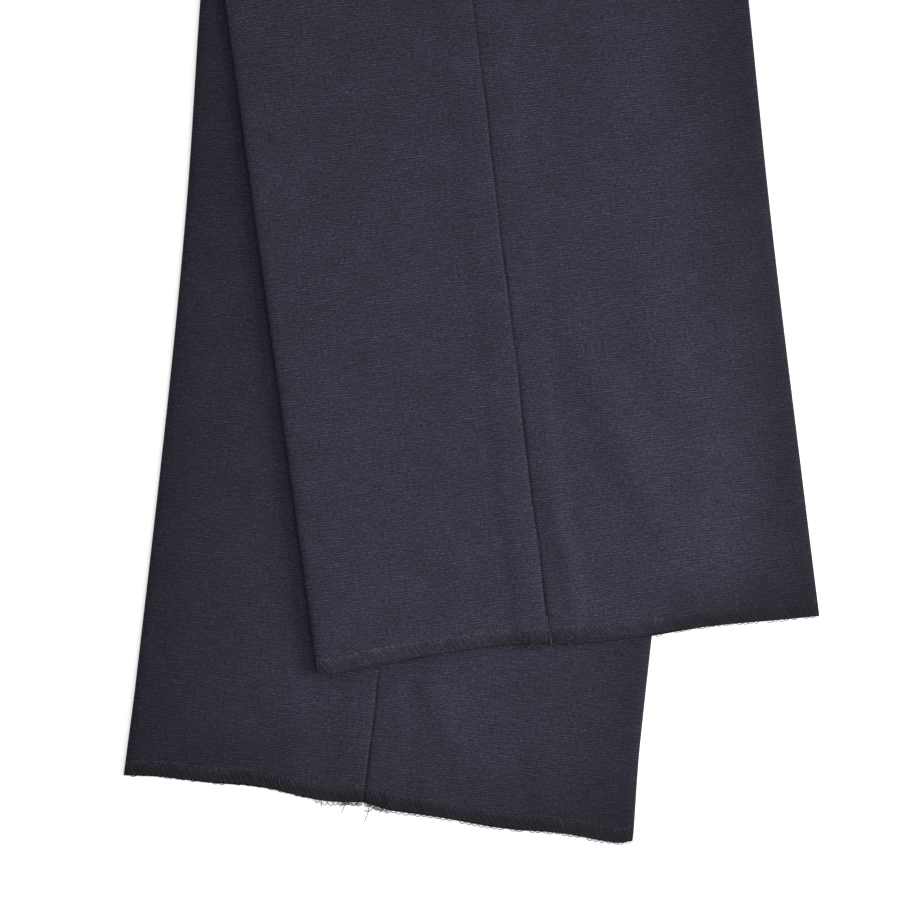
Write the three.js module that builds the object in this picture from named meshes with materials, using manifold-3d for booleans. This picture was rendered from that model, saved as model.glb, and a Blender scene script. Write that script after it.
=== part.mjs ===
import * as THREE from 'three';
import Module from 'manifold-3d';
import { mergeVertices } from 'three/addons/utils/BufferGeometryUtils.js';

// Slacks laid side-on on a flat surface, the left leg on the right one, fronts to -X and hems to -Y.
// Millimetres, +Z up. The pair is cut as four leg panels and two waistband halves. Each panel is a
// wall that runs from the outseam round its pressed crease to the inseam and the rise seam.

// Cloth, and the air left where plies or seam edges meet.
const cloth = 1.2;
const air = 0.3;
const legStack = 2 * cloth + air;
const leftBase = legStack + air;

// Lengths up the leg, measured from the raw hem at the seam.
const inseam = 860;
const waistSeam = inseam + 245;
const waistTop = waistSeam + 35;

// Where each leg's hem meets its seam, and how far the leg leans (degrees, left going up is positive).
const lay = {
  right: { hemX: -37.8, hemY: -153, lean: -6.7 },
  left: { hemX: 43, hemY: -81.7, lean: 6.8 },
};

// The raw hems aren't square: they dip and wave a little, as they were cut and then stretched in
// serging. Each row has a place across the leg and how far the edge lies below a square line there.
const hemWave = {
  right: [
    { across: -105, down: 0.9 },
    { across: -88, down: -0.4 },
    { across: -72, down: -0.3 },
    { across: -51, down: -1.4 },
    { across: -41, down: -0.9 },
    { across: -25, down: 1.1 },
    { across: -14, down: 1.7 },
    { across: -4, down: 0.5 },
    { across: 1, down: 0.1 },
    { across: 12, down: 1.9 },
    { across: 38, down: 3.1 },
    { across: 65, down: 4.2 },
    { across: 86, down: 3.6 },
    { across: 112, down: 5.1 },
    { across: 118.6, down: 3.4 },
  ],
  left: [
    { across: -101.7, down: 3.6 },
    { across: -94, down: 4.6 },
    { across: -80, down: 2.7 },
    { across: -66, down: 1.7 },
    { across: -45, down: 1.5 },
    { across: -33, down: 0.9 },
    { across: -22, down: 0.8 },
    { across: -8, down: 1.3 },
    { across: 0, down: 1.6 },
    { across: 12, down: 2.6 },
    { across: 47, down: 3.5 },
    { across: 75, down: 3.4 },
    { across: 100, down: 4.2 },
    { across: 118.2, down: 4.6 },
  ],
};

// The flattened legs: distance up from the hem, then the front crease, the seam and the back crease
// across from the leg's axis. The two legs lie a little unlike each other up to the thigh.
const cut = [
  { up: 0, leftFront: -101.7, rightFront: -105, seam: 0, leftBack: 118.2, rightBack: 118.6 },
  { up: 40, leftFront: -102.4, rightFront: -104.5, seam: 0, leftBack: 118, rightBack: 116.9 },
  { up: 170, leftFront: -104.8, rightFront: -105, seam: 0, leftBack: 117.7, rightBack: 116.6 },
  { up: 255, leftFront: -106.3, rightFront: -107, seam: 0, leftBack: 119, rightBack: 118.2 },
  { up: 345, leftFront: -108, rightFront: -111.5, seam: 0, leftBack: 121, rightBack: 121 },
  { up: 430, leftFront: -111, rightFront: -113.5, seam: 2, leftBack: 125, rightBack: 125 },
  { up: 620, leftFront: -116, rightFront: -117, seam: 10, leftBack: 146, rightBack: 146 },
  { up: inseam - 60, leftFront: -119, rightFront: -119, seam: 20, leftBack: 180, rightBack: 180 },
  { up: inseam, leftFront: -120, rightFront: -120, seam: 22, leftBack: 186, rightBack: 186 },
  { up: inseam + 50, leftFront: -120.5, rightFront: -120.5, seam: 22, leftBack: 181, rightBack: 181 },
  { up: inseam + 150, leftFront: -121, rightFront: -121, seam: 13, leftBack: 158, rightBack: 158 },
  { up: waistSeam, leftFront: -119, rightFront: -119, seam: -2, leftBack: 132, rightBack: 132 },
  { up: waistTop, leftFront: -118, rightFront: -118, seam: -4, leftBack: 127, rightBack: 127 },
];

// The rise seams on the inner plies: each leaves the crotch point in a quarter ellipse and then
// runs on as a nearly straight line to the top of the waistband.
const rise = {
  front: { curve: 65, foot: -28, top: -34 },
  back: { curve: 45, foot: 46, top: 28 },
};

// Towards the waist seam the plies thicken with their turned allowances and the band's facing.
const thickening = { from: waistSeam - 60, growth: 0.8 };

// The left leg was pushed up and turned, so it holds a flat Z-fold just above the part that shows.
// Both fold lines meet at the point that the leg turns about.
const tuck = {
  angle: THREE.MathUtils.degToRad(2), radius: (legStack + air) / 2, below: 15, ease: 3, slope: 85, arcs: 6,
};

// The left leg comes down to the surface beyond the right leg's back crease.
const drop = { start: 10, end: 45, fade: 80 };

// The left leg's front crease doesn't lie quite down: it rises a little towards the hem.
const corner = { rise: 2.4, width: 58, top: 420 };

// How many steps the walls take across a panel and round a crease, and their rows up the leg.
const columns = { leftFront: 8, leftBack: 11, rightFront: 8, rightBack: 9, crease: 4 };
const rightUps = [12, 40, 105, 170, 255, 345, 430, 520, 620, 710, inseam - 60];
const leftUpperUps = [620, 710, inseam - 60];
const leftLowerShares = [0.03, 0.13, 0.26, 0.4, 0.55, 0.7, 0.85, 1];
const riseSteps = [0, 1, 4, 10, 20, 32, 45, 65, 100, 150, 185];
const waistShares = [0.25, 0.5, 0.75, 1];
const bandShares = [0, 0.34, 0.68, 1];

// Fly zip, hook and bar, in the slot that the rise seams leave between the inner plies.
const zip = {
  foot: 925, top: waistSeam - 1, tape: 12, tapeThick: 0.8, chain: 4, chainThick: 2.3, chainTop: 1088,
};
const zipLowUps = [zip.foot, 960, 1000];
const slider = { length: 9, width: 7.6, thick: 3, plate: 0.7, web: 3.2, front: 3, narrowing: 0.75 };
const pull = { length: 15, thick: 0.8, neck: 2, width: 4, lap: 0.5 };
const hook = { start: 1116, width: 12, thick: 0.8, reach: 13, mouth: 5.5, drop: 3.6 };
const bar = { foot: 20, legWidth: 2, rod: 1, thick: 0.6 };

const navy = new THREE.MeshStandardMaterial({ color: 0x34343f, roughness: 0.92, metalness: 0 });
const navyBack = new THREE.MeshStandardMaterial({ color: 0x373743, roughness: 0.92, metalness: 0 });
const navyBand = new THREE.MeshStandardMaterial({ color: 0x30303b, roughness: 0.9, metalness: 0 });
const tapeCloth = new THREE.MeshStandardMaterial({ color: 0x24252d, roughness: 0.85, metalness: 0 });
const nickel = new THREE.MeshStandardMaterial({ color: 0xb9bbc0, roughness: 0.35, metalness: 1 });

const smooth = (t) => {
  const s = THREE.MathUtils.clamp(t, 0, 1);
  return s * s * (3 - 2 * s);
};

// A column of a table at a place along another of its columns, as a smooth curve through the rows.
function curveAt(rows, along, column, at) {
  const last = rows.length - 1;
  const place = THREE.MathUtils.clamp(at, rows[0][along], rows[last][along]);
  let i = 0;
  while (i < last - 1 && place > rows[i + 1][along]) i += 1;
  const slopeOf = (a, b) => (rows[b][column] - rows[a][column]) / (rows[b][along] - rows[a][along]);
  const span = rows[i + 1][along] - rows[i][along];
  const t = (place - rows[i][along]) / span;
  const slopeIn = slopeOf(Math.max(i - 1, 0), i + 1) * span;
  const slopeOut = slopeOf(i, Math.min(i + 2, last)) * span;
  const rising = t * t * (3 - 2 * t);
  const bend = slopeIn * t * (1 - t) ** 2 - slopeOut * t * t * (1 - t);
  return rows[i][column] + (rows[i + 1][column] - rows[i][column]) * rising + bend;
}

const cutAt = (column, up) => curveAt(cut, 'up', column, up);

// The inner ply's free edge: the inseam below the crotch, the rise seam above it.
function innerEdge(side, up) {
  if (up <= inseam) return cutAt('seam', up);
  const seam = rise[side];
  const line = THREE.MathUtils.mapLinear(up, inseam + seam.curve, waistTop, seam.foot, seam.top);
  const t = Math.min((up - inseam) / seam.curve, 1);
  return line + (cutAt('seam', inseam) - line) * (1 - Math.sqrt(1 - (1 - t) ** 2));
}

const growth = (up) => 1 + thickening.growth * smooth((up - thickening.from) / (waistSeam - thickening.from));

function onLeg(leg, across, up) {
  const lean = THREE.MathUtils.degToRad(leg.lean);
  const x = leg.hemX + across * Math.cos(lean) - up * Math.sin(lean);
  const y = leg.hemY + across * Math.sin(lean) + up * Math.cos(lean);
  return { x, y };
}

// How far the left leg is turned from the right one, and the point that it turns about.
const turn = THREE.MathUtils.degToRad(lay.left.lean - lay.right.lean);
const turnShift = {
  x: lay.left.hemX - (lay.right.hemX * Math.cos(turn) - lay.right.hemY * Math.sin(turn)),
  y: lay.left.hemY - (lay.right.hemX * Math.sin(turn) + lay.right.hemY * Math.cos(turn)),
};
const pivot = {
  x: (turnShift.x - turnShift.y / Math.tan(turn / 2)) / 2,
  y: (turnShift.y + turnShift.x / Math.tan(turn / 2)) / 2,
};

// The strip between the two fold lines, at a distance from the pivot.
const stripAt = (reach) => (turn * reach) / 2 - Math.PI * tuck.radius;

function placeRight(across, up, height) {
  const { x, y } = onLeg(lay.right, across, up);
  return new THREE.Vector3(x, y, (legStack - height) * growth(up));
}

// How far the left leg has come down towards the surface at a place on it.
function dropAt(x, y, pastFold) {
  const lean = THREE.MathUtils.degToRad(lay.right.lean);
  const dx = x - lay.right.hemX;
  const dy = y - lay.right.hemY;
  const across = dx * Math.cos(lean) + dy * Math.sin(lean);
  const up = -dx * Math.sin(lean) + dy * Math.cos(lean);
  const beyond = across - cutAt('rightBack', up);
  return leftBase * smooth((beyond - drop.start) / (drop.end - drop.start)) * smooth(pastFold / drop.fade);
}

function cornerLift(across, up) {
  const beside = (across - cutAt('leftFront', up)) / corner.width;
  return corner.rise * smooth(1 - beside) * smooth((corner.top - up) / corner.top);
}

// The left leg follows the right one from the waist down to the Z-fold and leaves it turned.
// Along the leg the cloth goes round two half circles, measured from the first fold line.
function placeLeft(across, up, height) {
  const flat = onLeg(lay.right, across, up);
  const reach = Math.hypot(flat.x - pivot.x, flat.y - pivot.y);
  const passed = reach * (tuck.angle - Math.atan2(flat.y - pivot.y, flat.x - pivot.x));
  const strip = stripAt(reach);
  const half = Math.PI * tuck.radius;
  const off = height - legStack / 2;
  const floor = leftBase + legStack / 2;
  let along = -passed;
  let z = floor + off;
  if (passed < 0) {
    z += 4 * tuck.radius * (1 - smooth((along - strip - tuck.ease) / tuck.slope));
  } else if (passed < half) {
    const bend = passed / tuck.radius;
    along = -(tuck.radius + off) * Math.sin(bend);
    z = floor + 3 * tuck.radius + (tuck.radius + off) * Math.cos(bend);
  } else if (passed < half + strip) {
    along = passed - half;
    z = floor + 2 * tuck.radius - off;
  } else if (passed < 2 * half + strip) {
    const bend = (passed - half - strip) / tuck.radius;
    along = strip + (tuck.radius - off) * Math.sin(bend);
    z = floor + tuck.radius + (tuck.radius - off) * Math.cos(bend);
  } else {
    along = 2 * (half + strip) - passed;
  }
  const angle = tuck.angle + along / reach;
  const x = pivot.x + reach * Math.cos(angle);
  const y = pivot.y + reach * Math.sin(angle);
  if (passed > 2 * half + strip) z += cornerLift(across, up) - dropAt(x, y, -along);
  return new THREE.Vector3(x, y, z * growth(up));
}

const place = { left: placeLeft, right: placeRight };

// Rows of a leg from hem to waist seam, each a function of the place across it.
const hemRow = (legName) => (across) => -curveAt(hemWave[legName], 'across', 'down', across);

// The first fold line on the left leg before it is folded, in its own across and up.
function foldLine(across) {
  const lean = THREE.MathUtils.degToRad(lay.right.lean);
  const dx = pivot.x - lay.right.hemX;
  const dy = pivot.y - lay.right.hemY;
  const pivotAcross = dx * Math.cos(lean) + dy * Math.sin(lean);
  const pivotUp = -dx * Math.sin(lean) + dy * Math.cos(lean);
  const slant = tuck.angle - lean;
  const up = pivotUp + (across - pivotAcross) * Math.tan(slant);
  return { up, reach: (across - pivotAcross) / Math.cos(slant), slant };
}

// A row at a distance past the first fold line: some way round it, and some strips on.
const foldRow = (past, strips) => (across) => {
  const { up, reach, slant } = foldLine(across);
  return up - (past + strips * stripAt(reach)) / Math.cos(slant);
};

const steps = (count) => Array.from({ length: count + 1 }, (_, i) => i / count);
const level = (up) => () => up;
const risingRows = riseSteps.map((step) => level(inseam + step));
const waistRows = waistShares.map((t) => level(THREE.MathUtils.lerp(thickening.from, waistSeam, t)));

function rightRows() {
  return [hemRow('right'), ...rightUps.map(level), ...risingRows, ...waistRows];
}

function leftRows() {
  const hem = hemRow('left');
  const half = Math.PI * tuck.radius;
  const belowTuck = foldRow(2 * half + tuck.below, 2);
  const between = (t) => (across) => THREE.MathUtils.lerp(hem(across), belowTuck(across), t);
  const secondFold = steps(tuck.arcs).map((t) => foldRow(half * (2 - t), 1));
  const firstFold = steps(tuck.arcs).map((t) => foldRow(half * (1 - t), 0));
  const overTuck = [foldRow(0, -0.5), foldRow(-tuck.ease, -1)];
  const slope = steps(tuck.arcs).slice(1).map((t) => foldRow(-tuck.ease - tuck.slope * t, -1));
  return [hem, ...leftLowerShares.map(between), foldRow(2 * half, 2), ...secondFold, foldRow(half, 0.5),
    ...firstFold, ...overTuck, ...slope, ...leftUpperUps.map(level), ...risingRows, ...waistRows];
}

// A point of a section: how far in from the crease, its height in the leg's two plies, and whether
// it goes on to the outseam (outer ply) or to the inseam and rise (inner ply).
function plySection(count) {
  const topPly = { ply: 'outer', skin: legStack, lining: legStack - cloth };
  const lowPly = { ply: 'inner', skin: 0, lining: cloth };
  const round = steps(columns.crease).slice(1, -1).map((t) => ({ ply: 'crease', t }));
  return [
    ...steps(count).map((t) => ({ ...topPly, t: 1 - t })),
    ...round,
    ...steps(count).map((t) => ({ ...lowPly, t })),
  ];
}

// The place of a section's point across the leg, in the outside skin or the inside one.
function acrossAt(point, inside, side, legName, up) {
  const inward = side === 'front' ? 1 : -1;
  const crease = cutAt(`${legName}${side === 'front' ? 'Front' : 'Back'}`, up);
  const centre = crease + (inward * legStack) / 2;
  if (point.ply === 'crease') {
    const radius = inside ? air / 2 : legStack / 2;
    return centre - inward * radius * Math.sin(Math.PI * point.t);
  }
  const edge = point.ply === 'outer' ? cutAt('seam', up) : innerEdge(side, up);
  return THREE.MathUtils.lerp(centre, edge - (inward * air) / 2, point.t);
}

function heightAt(point, inside) {
  if (point.ply !== 'crease') return inside ? point.lining : point.skin;
  const radius = inside ? air / 2 : legStack / 2;
  return legStack / 2 + radius * Math.cos(Math.PI * point.t);
}

function ringPoint(point, inside, side, legName, row) {
  let up = row(0);
  let across = 0;
  for (let pass = 0; pass < 4; pass += 1) {
    across = acrossAt(point, inside, side, legName, up);
    up = row(across);
  }
  return place[legName](across, up, heightAt(point, inside));
}

// Joins rings of points into one closed solid, its two end faces cut into triangles as the contour.
function loft(rings, contour) {
  const count = contour.length;
  const positions = rings.flat().flatMap((p) => [p.x, p.y, p.z]);
  const index = [];
  for (let r = 0; r < rings.length - 1; r += 1) {
    for (let i = 0; i < count; i += 1) {
      const a = r * count + i;
      const b = r * count + ((i + 1) % count);
      index.push(a, b, a + count, b, b + count, a + count);
    }
  }
  const far = (rings.length - 1) * count;
  const mirrored = THREE.ShapeUtils.isClockWise(contour);
  for (const face of THREE.ShapeUtils.triangulateShape(contour, [])) {
    const [a, b, c] = mirrored ? face.reverse() : face;
    index.push(a, c, b, far + a, far + b, far + c);
  }
  const geometry = new THREE.BufferGeometry();
  geometry.setAttribute('position', new THREE.Float32BufferAttribute(positions, 3));
  geometry.setIndex(index);
  return facingOut(geometry);
}

// Turns a closed solid's faces round if they face in.
function facingOut(geometry) {
  const at = geometry.attributes.position;
  const index = geometry.index.array;
  const corner = [new THREE.Vector3(), new THREE.Vector3(), new THREE.Vector3()];
  let volume = 0;
  for (let i = 0; i < index.length; i += 3) {
    corner.forEach((v, k) => v.fromBufferAttribute(at, index[i + k]));
    volume += corner[0].dot(corner[1].clone().cross(corner[2]));
  }
  if (volume < 0) {
    for (let i = 0; i < index.length; i += 3) [index[i], index[i + 1]] = [index[i + 1], index[i]];
  }
  geometry.computeVertexNormals();
  return geometry;
}

function named(name, geometry, material) {
  const mesh = new THREE.Mesh(geometry, material);
  mesh.name = name;
  return mesh;
}

// A contour keeps to the section's own plane: across, and height.
function panel(legName, side, rows, count) {
  const section = plySection(count);
  const skin = section.map((point) => ({ point, inside: false }));
  const loop = [...skin, ...section.map((point) => ({ point, inside: true })).reverse()];
  const contour = loop.map(({ point, inside }) =>
    new THREE.Vector2(acrossAt(point, inside, side, legName, 0), heightAt(point, inside)));
  const rings = rows.map((row) =>
    loop.map(({ point, inside }) => ringPoint(point, inside, side, legName, row)));
  return loft(rings, contour);
}

// A waistband half runs from the front rise seam round both creases to the back one.
function waistband(legName) {
  const plain = plySection(1);
  const front = plain.map((point) => ({ point, side: 'front' })).reverse();
  const back = plain.map((point) => ({ point, side: 'back' }));
  const run = [...front.slice(0, -1), ...back.slice(1)];
  const lining = run.map((p) => ({ ...p, inside: true })).reverse();
  const loop = [...run.map((p) => ({ ...p, inside: false })), ...lining];
  const rows = bandShares.map((t) => level(THREE.MathUtils.lerp(waistSeam + air, waistTop, t)));
  const contour = loop.map(({ point, side, inside }) =>
    new THREE.Vector2(acrossAt(point, inside, side, legName, waistSeam), heightAt(point, inside)));
  const rings = rows.map((row) =>
    loop.map(({ point, side, inside }) => ringPoint(point, inside, side, legName, row)));
  return loft(rings, contour);
}

// A flat strip in the slot: from one side to the other of the front rise seam's line, between two
// heights about the middle of the stack.
function slotStrip(fromAcross, toAcross, below, above, ups) {
  const corners = [[fromAcross, below], [toAcross, below], [toAcross, above], [fromAcross, above]];
  const contour = corners.map(([a, h]) => new THREE.Vector2(a, h));
  const rings = ups.map((up) => corners.map(([a, h]) => {
    const { x, y } = onLeg(lay.right, innerEdge('front', up) + a, up);
    return new THREE.Vector3(x, y, (legStack + air / 2) * growth(up) + h);
  }));
  return loft(rings, contour);
}

const zipUps = [...zipLowUps, ...steps(4).map((t) => THREE.MathUtils.lerp(thickening.from, zip.top, t))];
const chainUps = [...zipUps.filter((up) => up < zip.chainTop), zip.chainTop];
const chainFrom = 2 * air + zip.tape;
const secondTape = chainFrom + zip.chain + air;

// The slider's section is an H: two plates and a web, with the two tapes in its slots.
function sliderBody() {
  const w = slider.width / 2;
  const t = slider.thick / 2;
  const inner = t - slider.plate;
  const web = slider.web / 2;
  const outline = [[-w, -t], [w, -t], [w, -inner], [web, -inner], [web, inner], [w, inner],
    [w, t], [-w, t], [-w, inner], [-web, inner], [-web, -inner], [-w, -inner]];
  const contour = outline.map(([a, h]) => new THREE.Vector2(a, h));
  const middle = chainFrom + zip.chain / 2;
  const start = zip.chainTop + air;
  const ups = [start, start + slider.length - slider.front, start + slider.length];
  const flare = [1, 1, slider.narrowing];
  const rings = ups.map((up, i) => outline.map(([a, h]) => {
    const wide = Math.abs(a) > web ? a * flare[i] : a;
    const { x, y } = onLeg(lay.right, innerEdge('front', up) + middle + wide, up);
    return new THREE.Vector3(x, y, (legStack + air / 2) * growth(start) + h);
  }));
  return loft(rings, contour);
}

// Blocks are given as low and high corners across, up and in height, then joined to one body.
const wasm = await Module();
wasm.setup();

function block([a0, u0, z0], [a1, u1, z1]) {
  const box = new THREE.BoxGeometry(a1 - a0, u1 - u0, z1 - z0);
  box.translate((a0 + a1) / 2, (u0 + u1) / 2, (z0 + z1) / 2);
  box.deleteAttribute('normal');
  box.deleteAttribute('uv');
  const merged = mergeVertices(box);
  const vertProperties = new Float32Array(merged.attributes.position.array);
  const triVerts = new Uint32Array(merged.index.array);
  return new wasm.Manifold(new wasm.Mesh({ numProp: 3, vertProperties, triVerts }));
}

function joined(blocks) {
  const { vertProperties, triVerts } = blocks.reduce((whole, next) => whole.add(next)).getMesh();
  const geometry = new THREE.BufferGeometry();
  geometry.setAttribute('position', new THREE.BufferAttribute(vertProperties, 3));
  geometry.setIndex(new THREE.BufferAttribute(triVerts, 1));
  const { x, y } = onLeg(lay.right, 0, 0);
  geometry.rotateZ(THREE.MathUtils.degToRad(lay.right.lean));
  geometry.translate(x, y, 0);
  return facingOut(geometry);
}

// The pull tab lies flat on the slider's upper plate, turned up to the waist.
function pullTab() {
  const start = zip.chainTop + slider.length / 2;
  const middle = innerEdge('front', start) + chainFrom + zip.chain / 2;
  const low = (legStack + air / 2) * growth(zip.chainTop + air) + slider.thick / 2 + air;
  const bend = start + pull.length / 2;
  const plate = (width, from, to) =>
    block([middle - width / 2, from, low], [middle + width / 2, to, low + pull.thick]);
  return joined([plate(pull.neck, start, bend), plate(pull.width, bend - pull.lap, start + pull.length)]);
}

const bandStack = growth(waistSeam);
const bandEdge = innerEdge('front', waistSeam) + air / 2;

// The hook leaves the left band's front end, turns down and comes back under the rod.
function waistHook() {
  const top = (leftBase + cloth) * bandStack - air;
  const tip = bandEdge + hook.reach;
  const end = hook.start + hook.width;
  const low = top - hook.drop;
  return joined([
    block([bandEdge, hook.start, top - hook.thick], [tip, end, top]),
    block([tip - hook.thick, hook.start, low], [tip, end, top]),
    block([tip - hook.mouth, hook.start, low], [tip, end, low + hook.thick]),
  ]);
}

// The bar's plate leaves the right band's front end, and two feet carry its rod in the hook.
function waistBar() {
  const low = (cloth + air) * bandStack + air;
  const end = bandEdge + hook.reach - hook.thick - air;
  const start = hook.start - (bar.foot - hook.width) / 2;
  const stop = start + bar.foot;
  const rodTop = (leftBase + cloth) * bandStack - 2 * air - hook.thick;
  const foot = (at) => block([end - bar.rod, at, low], [end, at + bar.legWidth, rodTop]);
  return joined([
    block([bandEdge, start, low], [end, stop, low + bar.thick]),
    foot(start),
    foot(stop - bar.legWidth),
    block([end - bar.rod, start, rodTop - bar.rod], [end, stop, rodTop]),
  ]);
}

const slacks = new THREE.Group();
slacks.add(named('right_front', panel('right', 'front', rightRows(), columns.rightFront), navy));
slacks.add(named('right_back', panel('right', 'back', rightRows(), columns.rightBack), navyBack));
slacks.add(named('left_front', panel('left', 'front', leftRows(), columns.leftFront), navy));
slacks.add(named('left_back', panel('left', 'back', leftRows(), columns.leftBack), navyBack));
slacks.add(named('right_waistband', waistband('right'), navyBand));
slacks.add(named('left_waistband', waistband('left'), navyBand));

const tapeHalf = zip.tapeThick / 2;
const chainHalf = zip.chainThick / 2;
slacks.add(named('zip_tape_left', slotStrip(air, air + zip.tape, -tapeHalf, tapeHalf, zipUps), tapeCloth));
slacks.add(named('zip_tape_right',
  slotStrip(secondTape, secondTape + zip.tape, -tapeHalf, tapeHalf, zipUps), tapeCloth));
slacks.add(named('zip_chain',
  slotStrip(chainFrom, chainFrom + zip.chain, -chainHalf, chainHalf, chainUps), nickel));
slacks.add(named('zip_slider', sliderBody(), nickel));
slacks.add(named('zip_pull', pullTab(), nickel));
slacks.add(named('waist_hook', waistHook(), nickel));
slacks.add(named('waist_bar', waistBar(), nickel));

// The origin is under the middle of the whole pair, on the surface that it lies on.
const extent = new THREE.Box3().setFromObject(slacks);
const middle = extent.getCenter(new THREE.Vector3());
slacks.position.set(-middle.x, -middle.y, -extent.min.z);

export default slacks;
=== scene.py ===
import math

import bmesh
import bpy
import numpy as np
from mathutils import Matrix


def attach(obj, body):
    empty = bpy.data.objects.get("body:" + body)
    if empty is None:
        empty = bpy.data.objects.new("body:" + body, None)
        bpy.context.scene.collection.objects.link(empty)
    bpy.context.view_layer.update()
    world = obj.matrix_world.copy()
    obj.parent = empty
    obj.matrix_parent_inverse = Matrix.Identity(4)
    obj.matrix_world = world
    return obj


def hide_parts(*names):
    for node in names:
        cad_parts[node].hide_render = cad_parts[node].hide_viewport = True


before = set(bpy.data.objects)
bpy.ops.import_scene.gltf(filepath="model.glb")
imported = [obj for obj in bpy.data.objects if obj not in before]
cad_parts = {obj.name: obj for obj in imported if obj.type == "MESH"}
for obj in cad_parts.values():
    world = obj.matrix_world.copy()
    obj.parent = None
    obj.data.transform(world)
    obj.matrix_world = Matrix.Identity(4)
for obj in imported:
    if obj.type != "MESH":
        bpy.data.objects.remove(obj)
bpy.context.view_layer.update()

# The slacks lie on a plain white surface. The camera looks straight down on the two hems from far
# off. A soft box stands low on the right, a smaller one hangs above, and the white room fills in.
# Cloth is measured in millimetres, surface and lights in metres.
MM = 0.001
picture_middle = (-53.36, -411.26)
picture_side = 391.3
camera_height = 2000.0
sensor = 36.0
cloth_top = 5.0
surface_side = 30.0
surface_drop = 0.0004
surface_glow = 0.44
room_strength = 0.44


def plain_principled(name, colour, roughness):
    material = bpy.data.materials.new(name)
    material.use_nodes = True
    shader = material.node_tree.nodes["Principled BSDF"]
    shader.inputs["Base Color"].default_value = (*colour, 1)
    shader.inputs["Roughness"].default_value = roughness
    return material, material.node_tree, shader


bpy.ops.mesh.primitive_plane_add(size=surface_side, location=(0, 0, -surface_drop))
table_top = bpy.context.object
table_top.name = "white_surface"
paper, _, paper_shader = plain_principled("white_paper", (0.97, 0.97, 0.97), 0.9)
paper_shader.inputs["Specular IOR Level"].default_value = 0.1
paper_shader.inputs["Emission Color"].default_value = (1, 1, 1, 1)
paper_shader.inputs["Emission Strength"].default_value = surface_glow
table_top.data.materials.append(paper)

camera_data = bpy.data.cameras.new("camera")
camera_data.sensor_width = sensor
camera_data.lens = sensor * (camera_height - cloth_top) / picture_side
camera_data.clip_start = 0.1
camera_data.clip_end = 20
camera = bpy.data.objects.new("camera", camera_data)
camera.location = (picture_middle[0] * MM, picture_middle[1] * MM, camera_height * MM)
bpy.context.collection.objects.link(camera)
bpy.context.scene.camera = camera


def soft_box(name, aim, distance, turn, lift, size, watts):
    light = bpy.data.lights.new(name, "AREA")
    light.shape = "SQUARE"
    light.size = size
    light.energy = watts
    box = bpy.data.objects.new(name, light)
    box.location = (
        aim[0] + distance * math.cos(lift) * math.cos(turn),
        aim[1] + distance * math.cos(lift) * math.sin(turn),
        distance * math.sin(lift),
    )
    box.rotation_euler = (0, math.pi / 2 - lift, turn)
    box.visible_camera = False
    bpy.context.collection.objects.link(box)


side_turn, side_lift = math.radians(-10), math.radians(27)
soft_box("side_light", (0.02, -0.43), 1.15, side_turn, side_lift, size=0.6, watts=15.5)
soft_box("top_light", (0.03, -0.42), 0.4, 0.0, math.radians(88), size=0.3, watts=0.58)

room = bpy.data.worlds.new("soft_room")
room.use_nodes = True
background = room.node_tree.nodes["Background"]
background.inputs["Color"].default_value = (1, 1, 1, 1)
background.inputs["Strength"].default_value = room_strength
bpy.context.scene.world = room
bpy.context.scene.view_settings.view_transform = "Standard"


# The knit is a fine double knit with ribs that run round the leg. Its yarn is mottled, so each rib
# shows as broken dashes, with faint wales across them. All goes by millimetres on the cloth.
def feed(tree, source, target):
    """Sets a socket to a plain value, or links another socket to it."""
    if isinstance(source, (int, float, tuple)):
        target.default_value = source
    else:
        tree.links.new(source, target)


def math_node(tree, operation, *values):
    node = tree.nodes.new("ShaderNodeMath")
    node.operation = operation
    for socket, value in zip(node.inputs, values):
        feed(tree, value, socket)
    return node.outputs[0]


def noise_on(tree, vector, scale, detail, rough=0.5):
    node = tree.nodes.new("ShaderNodeTexNoise")
    node.inputs["Scale"].default_value = scale
    node.inputs["Detail"].default_value = detail
    node.inputs["Roughness"].default_value = rough
    feed(tree, vector, node.inputs["Vector"])
    return node.outputs[0]


def stretched(tree, across, up, across_length, up_length):
    combine = tree.nodes.new("ShaderNodeCombineXYZ")
    feed(tree, math_node(tree, "DIVIDE", across, across_length), combine.inputs[0])
    feed(tree, math_node(tree, "DIVIDE", up, up_length), combine.inputs[1])
    return combine.outputs[0]


def wave_on(tree, turns):
    return math_node(tree, "SINE", math_node(tree, "MULTIPLY", turns, 2 * math.pi))


rib_pitch, wale_pitch, dash_length = 1.08, 1.27, 1.5
rib_wander = (34.0, 14.0)
beat_ribs = 1.39
dash_ribs = 1 / 1.7
dash_height = 2.0
knit_level = 0.95
# How the yarn is mottled. Columns: its length across and up, its detail, and how strongly it shows.
mottles = [(0.75, 0.62, 1, 1.3), (7.0, 0.8, 1, 0.9), (26.0, 16.0, 3, 0.42)]


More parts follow.
